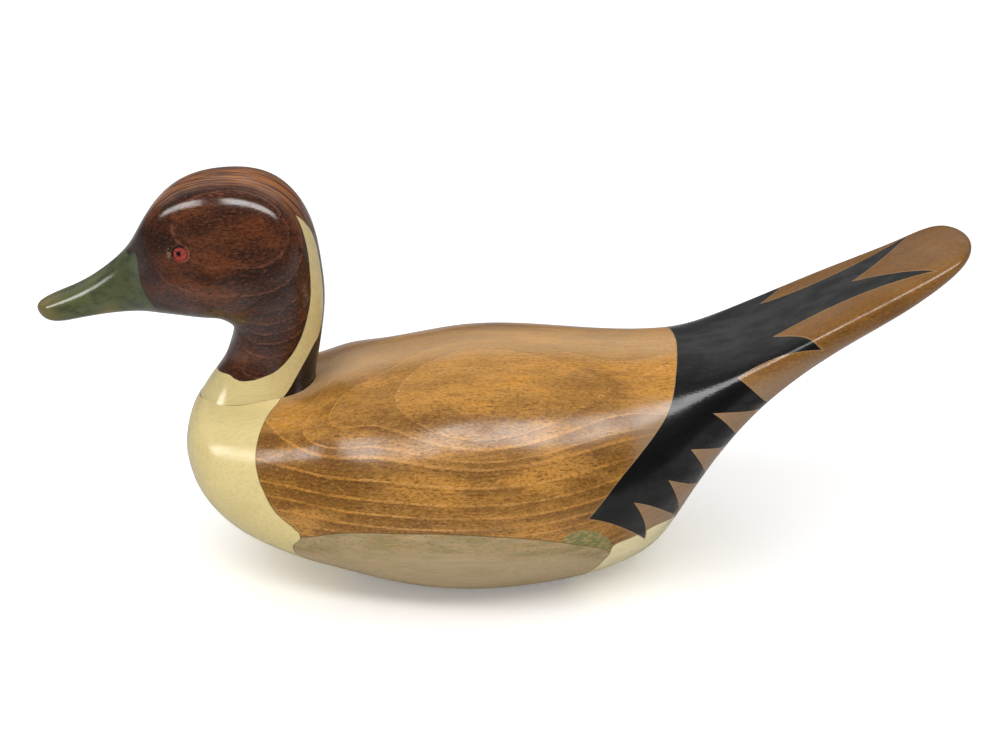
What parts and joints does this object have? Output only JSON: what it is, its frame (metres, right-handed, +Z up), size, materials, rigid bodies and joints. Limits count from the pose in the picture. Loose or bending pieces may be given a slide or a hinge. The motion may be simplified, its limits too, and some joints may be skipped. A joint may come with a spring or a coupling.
{
  "type": "pintail decoy",
  "caption": "Carved and painted wooden drake pintail with a swept-up tail, a let-in head and neck and inset eyes, standing on a flat underside.",
  "frame": {"origin": "on the ground, under the middle of the length and width of the whole decoy", "axes": "+Z up, -X towards the bill tip, +X towards the tail tip, -Y towards the bird's left side"},
  "size_m": [0.446, 0.15, 0.2072],
  "materials": {
    "body_wood": "stained and painted in plumage zones under a satin varnish",
    "head_wood": "stained dark brown with a cream neck stripe and an olive bill under a satin varnish",
    "eye_glass": "glossy and opaque, red with a black pupil"
  },
  "bodies": {
    "root": {"body": "body_wood", "head_and_neck": "head_wood", "eye_left": "eye_glass", "eye_right": "eye_glass"}
  },
  "joints": []
}
